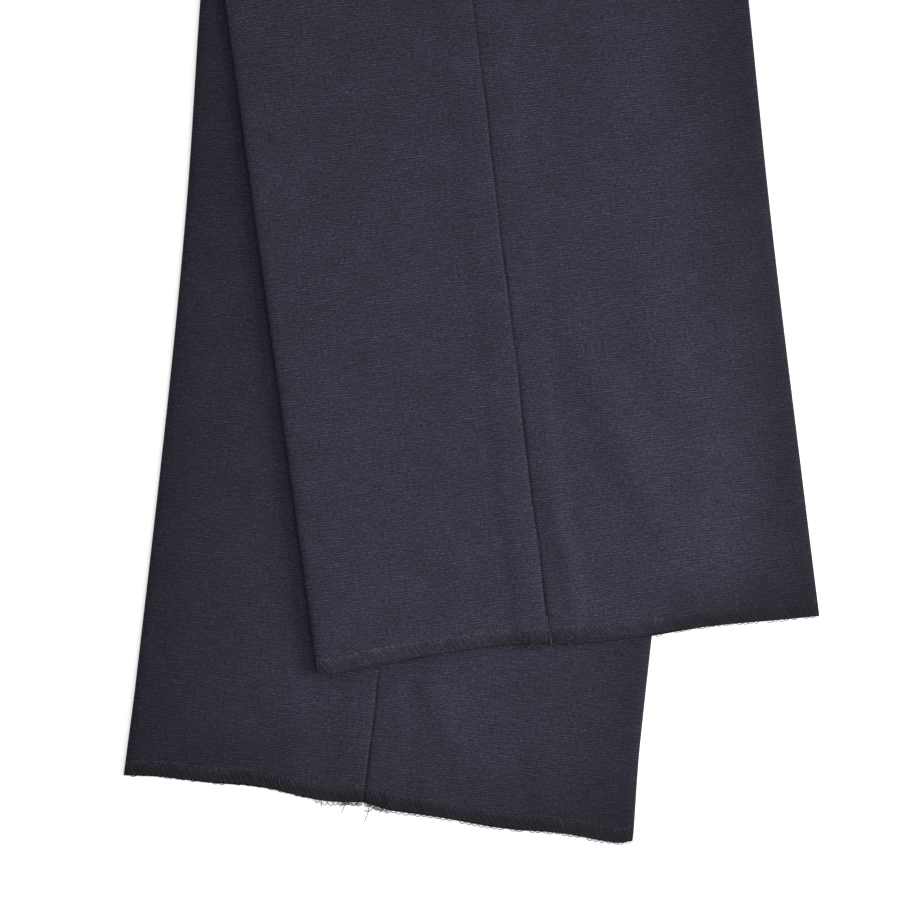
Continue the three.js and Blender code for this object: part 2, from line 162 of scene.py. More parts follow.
def rib_knit(tree):
    """How light the knit is, and how high it stands."""
    place = tree.nodes.new("ShaderNodeUVMap")
    place.uv_map = "cloth_mm"
    parts = tree.nodes.new("ShaderNodeSeparateXYZ")
    feed(tree, place.outputs[0], parts.inputs[0])
    across, up = parts.outputs[0], parts.outputs[1]
    wander = noise_on(tree, stretched(tree, across, up, *rib_wander), 1.0, 1)
    ribs = math_node(tree, "ADD", math_node(tree, "DIVIDE", up, rib_pitch), wander)
    rib = wave_on(tree, ribs)
    beat = wave_on(tree, math_node(tree, "DIVIDE", ribs, beat_ribs))
    wale = wave_on(tree, math_node(tree, "DIVIDE", across, wale_pitch))
    dash = noise_on(tree, stretched(tree, across, ribs, dash_length, dash_ribs), 1.0, 2, 0.6)
    dash = math_node(tree, "SUBTRACT", dash, 0.5)
    marks = [(rib, 0.2), (beat, 0.06), (wale, 0.09), (dash, 2.5)]
    for *lengths, detail, amount in mottles:
        mottle = noise_on(tree, stretched(tree, across, up, *lengths), 1.0, detail)
        marks.append((math_node(tree, "SUBTRACT", mottle, 0.5), amount))
    shade = 0.0
    for mark, amount in marks:
        shade = math_node(tree, "MULTIPLY_ADD", mark, amount, shade)
    shade = math_node(tree, "MULTIPLY", math_node(tree, "EXPONENT", shade), knit_level)
    return shade, math_node(tree, "MULTIPLY_ADD", dash, dash_height, rib)


knit_colour = (0.0292, 0.0292, 0.0464)
serged_colour = (0.0132, 0.0136, 0.0190)
serged_width = 6.4
cover_above = 0.4
cover_fade = 3.6
# The painted shadow line along the cut edge: how dark it is at the edge, and how fast it clears per
# millimetre up.
painted_edge_shadow_level = 0.25
painted_edge_shadow_rise = 0.9


def scaled_colour(tree, colour, factor):
    mix = tree.nodes.new("ShaderNodeVectorMath")
    mix.operation = "SCALE"
    feed(tree, colour, mix.inputs[0])
    feed(tree, factor, mix.inputs["Scale"])
    return mix.outputs[0]


def clamped(tree, value):
    clamp = tree.nodes.new("ShaderNodeClamp")
    feed(tree, value, clamp.inputs[0])
    return clamp.outputs[0]


def add_bump(tree, shader, height, strength, distance):
    bump = tree.nodes.new("ShaderNodeBump")
    bump.inputs["Strength"].default_value = strength
    bump.inputs["Distance"].default_value = distance
    feed(tree, height, bump.inputs["Height"])
    feed(tree, bump.outputs[0], shader.inputs["Normal"])


def vertex_number(tree, name):
    node = tree.nodes.new("ShaderNodeAttribute")
    node.attribute_name = name
    return node.outputs["Fac"]


def make_navy_knit():
    material, tree, shader = plain_principled("navy_knit", knit_colour, 0.88)
    shade, height = rib_knit(tree)
    # Shade is painted in towards the creases and along the hems: the cloth's colour is made darker there.
    painted_shade = math_node(tree, "SUBTRACT", 1.0, vertex_number(tree, "painted_shade"))
    shade = math_node(tree, "MULTIPLY", shade, painted_shade)
    # Close to the raw edge the overlock threads and their lint cover much of the cloth.
    from_hem = vertex_number(tree, "from_hem")
    below_top = math_node(tree, "SUBTRACT", serged_width + cover_above, from_hem)
    cover = clamped(tree, math_node(tree, "DIVIDE", below_top, cover_fade))
    mix = tree.nodes.new("ShaderNodeMix")
    mix.data_type = "RGBA"
    feed(tree, math_node(tree, "MULTIPLY", cover, vertex_number(tree, "serged")), mix.inputs["Factor"])
    feed(tree, scaled_colour(tree, knit_colour, shade), mix.inputs["A"])
    mix.inputs["B"].default_value = (*serged_colour, 1)
    # The cut edge itself is wrapped in thread, and a dark shadow line is painted along it.
    painted_edge_shadow = clamped(tree, math_node(tree, "MULTIPLY_ADD", from_hem, painted_edge_shadow_rise, painted_edge_shadow_level))
    feed(tree, scaled_colour(tree, mix.outputs["Result"], painted_edge_shadow), shader.inputs["Base Color"])
    add_bump(tree, shader, height, 0.5, 0.00015)
    shader.inputs["Specular IOR Level"].default_value = 0.16
    shader.inputs["Sheen Weight"].default_value = 0.04
    shader.inputs["Sheen Roughness"].default_value = 0.5
    return material


navy_knit = make_navy_knit()

# How the pair is cut and laid, as the solids have it: the legs flat, their hems turned apart, and
# the left leg folded in a Z just above the part that shows. Lengths are millimetres up the leg.
cloth = 1.2
air = 0.3
leg_stack = 2 * cloth + air
left_base = leg_stack + air
inseam = 860.0
waist_seam = inseam + 245
waist_top = waist_seam + 35
lay = {
    "right": dict(hem=(-37.8, -153.0), lean=math.radians(-6.7)),
    "left": dict(hem=(43.0, -81.7), lean=math.radians(6.8)),
}
# Columns: up, left front crease, right front crease, seam, left back crease, right back crease.
cut = np.array([
    (0, -101.7, -105.0, 0, 118.2, 118.6),
    (40, -102.4, -104.5, 0, 118.0, 116.9),
    (170, -104.8, -105.0, 0, 117.7, 116.6),
    (255, -106.3, -107.0, 0, 119.0, 118.2),
    (345, -108.0, -111.5, 0, 121.0, 121.0),
    (430, -111.0, -113.5, 2, 125.0, 125.0),
    (620, -116.0, -117.0, 10, 146.0, 146.0),
    (inseam - 60, -119.0, -119.0, 20, 180.0, 180.0),
    (inseam, -120.0, -120.0, 22, 186.0, 186.0),
    (inseam + 50, -120.5, -120.5, 22, 181.0, 181.0),
    (inseam + 150, -121.0, -121.0, 13, 158.0, 158.0),
    (waist_seam, -119.0, -119.0, -2, 132.0, 132.0),
    (waist_top, -118.0, -118.0, -4, 127.0, 127.0),
])
column = dict(up=0, left_front=1, right_front=2, seam=3, left_back=4, right_back=5)
inwards = dict(front=1, back=-1)
rise = dict(front=dict(curve=65, foot=-28, top=-34), back=dict(curve=45, foot=46, top=28))
thickening_from = waist_seam - 60
thickening = 0.8
fold_angle = math.radians(2)
fold_radius = (leg_stack + air) / 2
fold_ease = 3.0
fold_slope = 85.0
drop_start = 10.0
drop_end = 45.0
drop_fade = 80.0
fold_settle = 18.0


def smooth(t):
    t = np.clip(t, 0, 1)
    return t * t * (3 - 2 * t)


def curve_through(rows, value_column, place):
    """A column of a table at a place, as a smooth curve through its rows."""
    x, y = rows[:, 0], rows[:, value_column]
    place = np.clip(place, x[0], x[-1])
    i = np.clip(np.searchsorted(x, place, side="left") - 1, 0, len(x) - 2)
    before, after = np.maximum(i - 1, 0), np.minimum(i + 2, len(x) - 1)
    span = x[i + 1] - x[i]
    t = (place - x[i]) / span
    slope_in = (y[i + 1] - y[before]) / (x[i + 1] - x[before]) * span
    slope_out = (y[after] - y[i]) / (x[after] - x[i]) * span
    bend = slope_in * t * (1 - t) ** 2 - slope_out * t * t * (1 - t)
    return y[i] + (y[i + 1] - y[i]) * t * t * (3 - 2 * t) + bend


def cut_at(name, up):
    return curve_through(cut, column[name], np.asarray(up, float))


def inner_edge(side, up):
    seam = rise[side]
    foot_up = inseam + seam["curve"]
    line = seam["foot"] + (up - foot_up) / (waist_top - foot_up) * (seam["top"] - seam["foot"])
    t = np.clip((up - inseam) / seam["curve"], 0, 1)
    curve = line + (cut_at("seam", inseam) - line) * (1 - np.sqrt(1 - (1 - t) ** 2))
    return np.where(up <= inseam, cut_at("seam", up), curve)


def growth(up):
    return 1 + thickening * smooth((up - thickening_from) / (waist_seam - thickening_from))


def on_leg(leg, across, up):
    (x, y), lean = lay[leg]["hem"], lay[leg]["lean"]
    along_x = across * math.cos(lean) - up * math.sin(lean)
    along_y = across * math.sin(lean) + up * math.cos(lean)
    return x + along_x, y + along_y


def leg_place(leg, x, y):
    """The across and up of a place on the surface, measured along a leg."""
    (hem_x, hem_y), lean = lay[leg]["hem"], lay[leg]["lean"]
    dx, dy = x - hem_x, y - hem_y
    return dx * math.cos(lean) + dy * math.sin(lean), -dx * math.sin(lean) + dy * math.cos(lean)


turn = lay["left"]["lean"] - lay["right"]["lean"]
(right_x, right_y), (left_x, left_y) = lay["right"]["hem"], lay["left"]["hem"]
shift_x = left_x - (right_x * math.cos(turn) - right_y * math.sin(turn))
shift_y = left_y - (right_x * math.sin(turn) + right_y * math.cos(turn))
pivot_x = (shift_x - shift_y / math.tan(turn / 2)) / 2
pivot_y = (shift_y + shift_x / math.tan(turn / 2)) / 2


def strip_at(reach):
    return turn * reach / 2 - math.pi * fold_radius


def place_right(across, up, height, relief):
    x, y = on_leg("right", across, up)
    return np.stack([x, y, (leg_stack - height) * growth(up) + relief], axis=-1)


corner_rise = 2.4
corner_width = 58.0
corner_top = 420.0


def corner_lift(across, up):
    """The upper leg's front crease doesn't lie quite down: it rises a little towards the hem."""
    beside = (across - cut_at("left_front", up)) / corner_width
    return corner_rise * smooth(1 - beside) * smooth((corner_top - up) / corner_top)


def place_left(across, up, height, relief):
    flat_x, flat_y = on_leg("right", across, up)
    reach = np.hypot(flat_x - pivot_x, flat_y - pivot_y)
    passed = reach * (fold_angle - np.arctan2(flat_y - pivot_y, flat_x - pivot_x))
    strip, half = strip_at(reach), math.pi * fold_radius
    off, floor = height - leg_stack / 2, left_base + leg_stack / 2
    first = np.clip(passed / fold_radius, 0, math.pi)
    second = np.clip((passed - half - strip) / fold_radius, 0, math.pi)
    above = 4 * fold_radius * (1 - smooth((-passed - strip - fold_ease) / fold_slope))
    in_upper, in_first = passed < 0, passed < half
    in_strip, in_second = passed < half + strip, passed < 2 * half + strip
    along = np.select(
        [in_upper, in_first, in_strip, in_second],
        [
            -passed,
            -(fold_radius + off) * np.sin(first),
            passed - half,
            strip + (fold_radius - off) * np.sin(second),
        ],
        2 * (half + strip) - passed,
    )
    z = np.select(
        [in_upper, in_first, in_strip, in_second],
        [
            floor + off + above,
            floor + 3 * fold_radius + (fold_radius + off) * np.cos(first),
            floor + 2 * fold_radius - off,
            floor + fold_radius + (fold_radius - off) * np.cos(second),
        ],
        floor + off,
    )
    angle = fold_angle + along / reach
    x, y = pivot_x + reach * np.cos(angle), pivot_y + reach * np.sin(angle)
    beside, beside_up = leg_place("right", x, y)
    beyond = beside - cut_at("right_back", beside_up)
    over_edge = smooth((beyond - drop_start) / (drop_end - drop_start))
    z = np.where(in_second, z, z - left_base * over_edge * smooth(-along / drop_fade))
    from_fold = np.where(in_upper, -passed, passed - 2 * half - strip)
    z = z * growth(up) + (relief + corner_lift(across, up)) * smooth(from_fold / fold_settle)
    return np.stack([x, y, z], axis=-1)


placed = dict(left=place_left, right=place_right)

# The raw hems aren't square: they dip and wave a little, as they were cut and then stretched in
# serging. Columns: across, how far the edge lies below a square line.
hem_wave = {
    "right": np.array([
        (-105, 0.9), (-88, -0.4), (-72, -0.3), (-51, -1.4), (-41, -0.9), (-25, 1.1), (-14, 1.7),
        (-4, 0.5), (1, 0.1), (12, 1.9), (38, 3.1), (65, 4.2), (86, 3.6), (112, 5.1), (118.6, 3.4),
    ]),
    "left": np.array([
        (-101.7, 3.6), (-94, 4.6), (-80, 2.7), (-66, 1.7), (-45, 1.5), (-33, 0.9), (-22, 0.8), (-8, 1.3),
        (0, 1.6), (12, 2.6), (47, 3.5), (75, 3.4), (100, 4.2), (118.2, 4.6),
    ]),
}

# Where the ply beneath hangs out a little below the other at the hem. Columns: across, how far.
under_hem = {
    "right": np.array([
        (-80, 0), (-60, 0.5), (-38, 0.2), (-20, 0.3), (-6, 0.2), (10, 0.8), (30, 0.2), (60, 0.6), (96, 0),
    ]),
    "left": np.array([
        (-92, 0), (-78, 1.5), (-62, 1.1), (-48, 0), (-20, 0.4), (-4, 1.2), (10, 1.6), (34, 1.2),
        (50, 0.9), (62, 0), (90, 0),
    ]),
}


def hem_at(leg, across, hidden=0.0):
    """The raw edge's place up the leg; hidden is 1 on the ply beneath and 0 on the one that shows."""
    return -curve_through(hem_wave[leg], 1, across) - hidden * curve_through(under_hem[leg], 1, across)


# Soft ridges that the cloth holds where it was handled, each a low swell along a line. Columns:
# from across and up, to across and up, how wide and how high, in the leg's own millimetres.
swell_ease = 0.5
swells = {
    "left": [
        (24, 132, 57, 36, 10, 2.1), (57, 152, 76, 82, 12, 1.2),
        (8, 66, 15, 10, 5, 1.1), (-62, 210, -52, 120, 16, 0.5),
        (-36, 40, -42, 2, 7, 0.35), (90, 40, 100, 2, 8, 0.4),
        (52, 700, 122, 590, 12, 3.4), (8, 655, 92, 560, 9, 2.2),
        (-84, 705, -30, 600, 11, 2.6), (-104, 610, -64, 560, 9, 1.4),
        (66, 815, 168, 735, 13, 3.8), (-6, 790, 70, 742, 10, 1.9),
        (-104, 872, -44, 778, 11, 3.0), (96, 905, 172, 848, 11, 2.6),
        (-40, 985, 24, 890, 14, 2.1), (64, 1032, 126, 925, 12, 2.5),
        (-104, 1010, -70, 930, 9, 1.7),
    ],
    "right": [
        (20, 60, 37, 28, 6, 1.0), (25, 16, 28, 0, 4, 0.5),
        (-30, 30, -36, 0, 6, 0.6), (-98, 210, -88, 60, 7, 0.4),
        (70, 34, 84, 2, 8, 0.5),
    ],
}


def swell_height(leg, across, up):
    total = np.zeros_like(across + up)
    for start_across, start_up, end_across, end_up, wide, high in swells[leg]:
        along_x, along_y = end_across - start_across, end_up - start_up
        length = math.hypot(along_x, along_y)
        t = ((across - start_across) * along_x + (up - start_up) * along_y) / length**2
        beside = ((across - start_across) * along_y - (up - start_up) * along_x) / length
        ends = smooth(t / swell_ease + 0.5) * smooth((1 - t) / swell_ease + 0.5)
        total += high * ends * np.exp(-((beside / wide) ** 2))
    return total


# No seam runs dead straight. Columns: how far its stitching wanders, over what length, from where.
wanders = [(0.2, 16.0, 0.0), (0.12, 6.1, 1.3)]
wander_fade = 40.0


def seam_wander(up):
    return sum(size * np.sin(up / length + start) for size, length, start in wanders)


# The seams are pressed open. Under the cloth an allowance lies on each side, so it stands proud as
# far as they reach, and dips to the stitching between them. The dip is deeper towards the hem.
allowance = 15.5
allowance_end = 4.0
dip_width = 2.2
stitch_width = 0.5
stitch_dip = {"left": 0.42, "right": 0.48}
# How proud the cloth stands over the allowances well up the leg, and how much more at the hem.
seam_proud = {"left": (0.38, 0.42), "right": (0.3, 0.1)}
proud_from, proud_over = 170.0, 130.0


def seam_relief(leg, from_seam, up):
    low, more = seam_proud[leg]
    proud = low + more * smooth((proud_from - up) / proud_over)
    rising = 1 - np.exp(-from_seam / dip_width)
    falling = 1 - smooth((from_seam - allowance + allowance_end) / allowance_end)
    return proud * rising * falling - stitch_dip[leg] * np.exp(-((from_seam / stitch_width) ** 2))


# The seams pucker a little along their length. The lower leg lies smooth where the upper one covers
# it, and its relief ends above the part that shows.
pucker, pucker_length, pucker_drift, pucker_reach = 0.22, 11.0, 27.0, 6.0
covered_gap, covered_ease = 1.5, 6.0
relief_top, relief_fade = 400.0, 60.0


def relief_at(leg, side, across, up):
    """How far the showing ply's skin stands above its flat place."""
    edge = cut_at("seam", up) if leg == "left" else inner_edge(side, up)
    seam = seam_relief(leg, np.abs(across - edge - seam_wander(up)), up)
    waves = np.sin(up / pucker_length + np.sin(up / pucker_drift))
    seam *= 1 + pucker * waves * np.exp(-np.abs(across - edge) / pucker_reach)
    swell = swell_height(leg, across, up)
    if leg == "left":
        return seam + swell
    over_across, over_up = leg_place("left", *on_leg("right", across, up))
    past_crease = cut_at("left_front", over_up) - over_across
    beside = np.maximum(past_crease, hem_at("left", over_across) - over_up)
    clear = smooth((beside - covered_gap) / covered_ease)
    return (seam + swell) * clear * smooth((relief_top - up) / relief_fade)


# Each panel is a thin shell of knit, cut whole: a ply from the outseam to the pressed crease and,
# round it, a ply to the inseam. The showing ply has a fine grid, and the hidden one a plain one.
crease_depth = 4.6
crease_arcs = 12
fine_seam = np.array([0, 0.3, 0.7, 1.2, 1.9, 2.9, 4.2, 5.8]) / 108
fine = np.concatenate([fine_seam, np.linspace(0.078, 1, 36)])
coarse = np.linspace(0, 1, 11)
crease_blend = 1.4


def stations(outer, inner):
    """Columns from outseam round the crease to inseam: ply (1 in the bend) and how far along it."""
    arcs = np.linspace(0, 1, crease_arcs + 1)[1:-1]
    ply = np.repeat([0, 1, 2], [len(outer), len(arcs), len(inner)])
    return ply, np.concatenate([outer, arcs, inner[::-1]])


def section(leg, side, ply, t, inside, up):
    """Across and height of a section's points at rows of up."""
    inward = inwards[side]
    centre = cut_at(f"{leg}_{side}", up) + inward * crease_depth
    depth = crease_depth - cloth if inside else crease_depth
    half = air / 2 if inside else leg_stack / 2
    edge = np.where(ply == 0, cut_at("seam", up), inner_edge(side, up))
    edge = edge + seam_wander(up) * smooth((inseam - up) / wander_fade)
    flat = edge + (centre - edge) * t
    round_across = centre - inward * depth * np.sin(math.pi * t)
    across = np.where(ply == 1, round_across, flat)
    flat_height = np.where(ply == 0, leg_stack / 2 + half, leg_stack / 2 - half)
    height = np.where(ply == 1, leg_stack / 2 + half * np.cos(math.pi * t), flat_height)
    return across, height


def showing(leg, height):
    """1 on the ply that faces the viewer, 0 on the other, and between them round the crease."""
    off_middle = height - leg_stack / 2 if leg == "left" else leg_stack / 2 - height
    return smooth(off_middle / (leg_stack / 2) * crease_blend)


# The rows are close together at the raw edge, even up to the fold or the end of what shows, and
# plain above it, with more at the fold and the crotch curve.
near_hem = [0, 0.5, 1.2, 2.2, 3.4, 4.8, 6.4, 8]
even_rows = {"left": 104, "right": 118}
below_fold = 12
fold_arcs = np.linspace(0, 1, 9)
fold_slope_rows = np.linspace(0, 1, 13)[1:]
even_rows_end = 350.0
plain_rows = {
    "left": np.linspace(560, inseam - 20, 26),
    "right": np.linspace(even_rows_end + 20, inseam - 20, 30),
}
crotch_rows = inseam + np.array([0, 0.6, 2.5, 6, 11, 18, 26, 36, 45, 54, 65])
waist_rows = np.linspace(inseam + 78, waist_seam, 20)


def level_row(up):
    return lambda across, hidden: np.full_like(across, up)


def fold_row(past, strips):
    """A row along the Z-fold, so far past its line and so many folded strips further on."""
    pivot_across, pivot_up = leg_place("right", pivot_x, pivot_y)
    slant = fold_angle - lay["right"]["lean"]

    def row(across, hidden):
        beside = across - pivot_across
        further = past + strips * strip_at(beside / math.cos(slant))
        return pivot_up + beside * math.tan(slant) - further / math.cos(slant)

    return row


def panel_rows(leg):
    """Rows of a panel from hem to waist seam, each a function of the place across."""
    half = math.pi * fold_radius
    top = fold_row(2 * half + below_fold, 2) if leg == "left" else level_row(even_rows_end)
    rows = [lambda a, h, d=d: hem_at(leg, a, h) + d for d in near_hem]
    rows += [
        lambda a, h, t=t: (hem_at(leg, a, h) + near_hem[-1]) * (1 - t) + top(a, h) * t
        for t in np.linspace(0, 1, even_rows[leg])[1:]
    ]
    if leg == "left":
        rows += [fold_row(2 * half, 2)]
        rows += [fold_row(half * (2 - t), 1) for t in fold_arcs]
        rows += [fold_row(half, 0.5)]
        rows += [fold_row(half * (1 - t), 0) for t in fold_arcs]
        rows += [fold_row(0, -0.5), fold_row(-fold_ease, -1)]
        rows += [fold_row(-fold_ease - fold_slope * t, -1) for t in fold_slope_rows]
    return rows + [level_row(up) for up in (*plain_rows[leg], *crotch_rows, *waist_rows)]


# Painted shade at each crease: how much darker the cloth is made, and how far in from the crease it
# reaches.
painted_crease_shade = {
    "left_front": (0.0, 20),
    "left_back": (0.48, 44),
    "right_front": (0.40, 75),
    "right_back": (0.38, 60),
}

# Shade is also painted along the hems. Columns: across, how much.
painted_hem_shade = {
    "left": np.array([
        (-102, 0), (26, 0), (46, 0.09), (60, 0.32), (80, 0.42), (100, 0.38), (119, 0.26),
    ]),
    "right": np.array([
        (-105, 0.14), (-50, 0.26), (-30, 0.27), (0, 0.18), (30, 0.2), (60, 0.26), (90, 0.32), (118, 0.34),
    ]),
}
painted_hem_shade_reach = {"left": 34.0, "right": 46.0}
crease_shade_power = 1.2

# How thickly the serging covers the edge, and how light its threads are, which is partly painted shade:
# the same thread is set darker on the lower leg and towards the upper leg's back corner. Columns: across,
# cover, tone of the threads.
serging_cover_and_painted_shade = {
    "left": np.array([
        (-102, 0.03, 1.2), (-40, 0.1, 1.2), (-20, 0.26, 1.16), (-6, 0.5, 1.06), (6, 0.4, 1.1),
        (18, 0.2, 1.06), (34, 0.2, 0.92), (48, 0.5, 0.76), (60, 0.78, 0.56), (80, 0.9, 0.44),
        (118.2, 0.9, 0.42),
    ]),
    "right": np.array([
        (-105, 0.8, 0.7), (-60, 0.74, 0.76), (-10, 0.8, 0.72), (40, 0.78, 0.64), (118.6, 0.84, 0.6),
    ]),
}


# The painted shade at a point: the crease's and the hem's together.
def painted_shade_at(node, across, up, from_hem):
    amount, reach = painted_crease_shade[node]
    leg = node.split("_")[0]
    inside = np.abs(across - cut_at(node, up)) / reach
    at_crease = amount * np.clip(1 - inside, 0, 1) ** crease_shade_power
    fade = smooth(1 - from_hem / painted_hem_shade_reach[leg])
    at_hem = curve_through(painted_hem_shade[leg], 1, across) * fade
    return 1 - (1 - at_crease) * (1 - at_hem)


# The lining follows the skin's dips only this far, and a row settles on its section in a few passes.
lining_dip = 0.12
row_passes = 4


def both_skins(ring, rows):
    """Rings of a shell of cloth: its outer skin at each row, and its lining back."""
    outer, lining = (np.array([ring(inside, row) for row in rows]) for inside in (False, True))
    return np.concatenate([outer, lining[:, ::-1]], axis=1)


def panel_rings(leg, side):
    """Rings of a panel: x y z, across, up, and what the knit's looks go by."""
    ply, t = stations(fine, coarse) if leg == "left" else stations(coarse, fine)
    hidden = (ply == (2 if leg == "left" else 0)).astype(float)

    def ring(inside, row):
        up = row(np.zeros_like(t), hidden)
        for _ in range(row_passes):
            across, height = section(leg, side, ply, t, inside, up)
            up = row(across, hidden)
        relief = relief_at(leg, side, across, up)
        if inside:
            relief = np.maximum(relief, -lining_dip)
        xyz = placed[leg](across, up, height, relief * showing(leg, height))
        from_hem = up - hem_at(leg, across, hidden)
        painted_shade = painted_shade_at(f"{leg}_{side}", across, up, from_hem)
        serged = curve_through(serging_cover_and_painted_shade[leg], 1, across)
        return np.column_stack([xyz, across, up, from_hem, painted_shade, serged])

    return both_skins(ring, panel_rows(leg))


def face_out(mesh):
    """Turns a closed mesh's faces round if they face in."""
    points = np.zeros(len(mesh.vertices) * 3)
    mesh.vertices.foreach_get("co", points)
    points = points.reshape(-1, 3)
    mesh.calc_loop_triangles()
    corners = np.zeros(len(mesh.loop_triangles) * 3, np.int32)
    mesh.loop_triangles.foreach_get("vertices", corners)
    a, b, c = (points[corners.reshape(-1, 3)[:, k]] for k in range(3))
    if np.einsum("ij,ij->i", a, np.cross(b, c)).sum() < 0:
        mesh.flip_normals()


def new_mesh(name, points, faces):
    """A mesh of points in millimetres, measured from the middle of the picture."""
    mesh = bpy.data.meshes.new(name)
    mesh.from_pydata(((points + (*picture_middle, 0)) * MM).tolist(), [], faces)
    return mesh


def new_object(name, mesh):
    piece = bpy.data.objects.new(name, mesh)
    bpy.context.collection.objects.link(piece)
    return piece


def add_numbers(mesh, label, values):
    values = np.asarray(values, np.float32)
    mesh.attributes.new(label, "FLOAT", "POINT").data.foreach_set("value", values)


sharp_from = math.radians(50)


def ring_mesh(name, rings):
    """A closed mesh of rings (x y z across up from_hem painted_shade serged): skin out, lining back."""
    count, width = rings.shape[:2]
    half = width // 2
    flat = rings.reshape(-1, rings.shape[2])
    index = np.arange(count * width).reshape(count, width)
    near, far = index[:-1], index[1:]
    sides = np.stack([near, np.roll(near, -1, 1), np.roll(far, -1, 1), far], axis=-1).reshape(-1, 4)
    first, last = index[0], index[-1]
    i = np.arange(half - 1)
    start = np.stack([first[i + 1], first[i], first[width - 1 - i], first[width - 2 - i]], axis=-1)
    end = np.stack([last[i], last[i + 1], last[width - 2 - i], last[width - 1 - i]], axis=-1)
    faces = np.concatenate([sides, start, end])
    mesh = new_mesh(name, flat[:, :3], faces.tolist())
    uv = mesh.uv_layers.new(name="cloth_mm")
    corner = np.zeros(len(mesh.loops), np.int32)
    mesh.loops.foreach_get("vertex_index", corner)
    uv.data.foreach_set("uv", flat[corner][:, 3:5].ravel())
    for label, values in zip(("from_hem", "painted_shade", "serged"), flat[:, 5:].T):
        add_numbers(mesh, label, values)
    mesh.shade_smooth()
    face_out(mesh)
    mesh.set_sharp_from_angle(angle=sharp_from)
    return new_object(name, mesh)


def cloth_piece(node, rings):
    piece = ring_mesh(f"{node}_cloth", rings)
    piece.data.materials.append(navy_knit)
    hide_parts(node)
    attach(piece, "root")
    return piece


panels = {}
for leg in ("right", "left"):
    for side in ("front", "back"):
        node = f"{leg}_{side}"
        panels[node] = cloth_piece(node, panel_rings(leg, side))

# The waistband halves are set on double, so they are thicker than the legs. Each runs from the
# front rise round both creases to the back rise. Columns: above the waist seam, how full the band is.
band_rows = [
    (0.3, 0.55), (0.6, 0.25), (1.2, 0.1), (2.5, 0), (9, 0), (17.5, 0), (26, 0), (32.5, 0),
    (33.8, 0.1), (34.6, 0.25), (35, 0.5),
]
band_full = 0.4
band_outer = np.linspace(0, 1, 16)
band_inner = np.linspace(0, 1, 10)


def band_rings(leg):
    """Rings of a waistband half, its front and back in one."""
    ply, t = stations(band_outer, band_inner)

    def ring(inside, row):
        above, full = row
        up = np.full(len(t), waist_seam + above)
        front, back = (np.array(section(leg, side, ply, t, inside, up)) for side in ("front", "back"))
        across, height = np.concatenate([front[:, :0:-1], back[:, 1:]], axis=1)
        if not inside:
            height = height + np.sign(leg_stack / 2 - height) * full * band_full
        up = np.full(len(across), waist_seam + above)
        none = np.zeros(len(across))
        return np.column_stack([placed[leg](across, up, height, 0), across, up, up, none, none])

    return both_skins(ring, band_rows)


bands = {}
for leg in ("right", "left"):
    bands[leg] = cloth_piece(f"{leg}_waistband", band_rings(leg))

# The hems are serged: an overlock thread zigzags over the raw edge, held by a needle line about
# 6 mm up. The threads are charcoal, finer than the ribs, and uneven.
thread_end = 0.55


def tube_faces(base, rings, sides):
    """Faces of a closed tube whose points are numbered on from base, ring by ring."""
    faces = []
    for k in range(base, base + (rings - 1) * sides, sides):
        for s in range(sides):
            a, b = k + s, k + (s + 1) % sides
            faces.append((a, b, b + sides, a + sides))
    faces.append(tuple(base + s for s in reversed(range(sides))))
    faces.append(tuple(base + (rings - 1) * sides + s for s in range(sides)))
    return faces


def thread_mesh(name, paths, radius, sides=5):
    """Tubes along paths of points in millimetres, each with its thickness and tone."""
    verts, faces, tones = [], [], []
    for path, thick, tone in paths:
        path = np.asarray(path, float)
        tones += np.repeat(np.broadcast_to(tone, len(path)), sides).tolist()
        ahead = np.gradient(path, axis=0)
        ahead /= np.linalg.norm(ahead, axis=1)[:, None] + 1e-9
        beside = np.cross(ahead, (0.0, 0.0, 1.0))
        flat = np.linalg.norm(beside, axis=1) < 0.05
        beside[flat] = (1, 0, 0)
        beside /= np.linalg.norm(beside, axis=1)[:, None]
        upward = np.cross(beside, ahead)
        base = len(verts)
        for k, point in enumerate(path):
            r = radius * thick * (thread_end if k in (0, len(path) - 1) else 1)
            for s in range(sides):
                angle = 2 * math.pi * s / sides
                verts.append(point + r * (math.cos(angle) * beside[k] + math.sin(angle) * upward[k]))
        faces += tube_faces(base, len(path), sides)
    mesh = new_mesh(name, np.array(verts), faces)
    add_numbers(mesh, "tone", tones)
    mesh.shade_smooth()
    face_out(mesh)
    return new_object(name, mesh)


def make_thread(name, colour, roughness):
    material, tree, shader = plain_principled(name, colour, roughness)
    place = tree.nodes.new("ShaderNodeTexCoord")
    fibre = noise_on(tree, place.outputs["Object"], 1400.0, 2)
    patch = noise_on(tree, place.outputs["Object"], 90.0, 2)
    mottled = math_node(tree, "MULTIPLY_ADD", math_node(tree, "ADD", fibre, patch), 1.1, -0.1)
    tone = math_node(tree, "MULTIPLY", mottled, vertex_number(tree, "tone"))
    feed(tree, scaled_colour(tree, colour, tone), shader.inputs["Base Color"])
    add_bump(tree, shader, fibre, 0.5, 0.0001)
    shader.inputs["Specular IOR Level"].default_value = 0.3
    return material


serging_thread = make_thread("charcoal_thread", (0.0368, 0.0379, 0.0450), 0.75)
stitch_pitch = 2.6
stitch_slant = 3.6
hook_width = 1.15
hook_from = 0.86
needle_stitch = 2.6
thread_radius = 0.14
edge_tone = 0.5
line_tone = 1.35


def shows(leg, ply):
    return (ply == "outer") == (leg == "left")


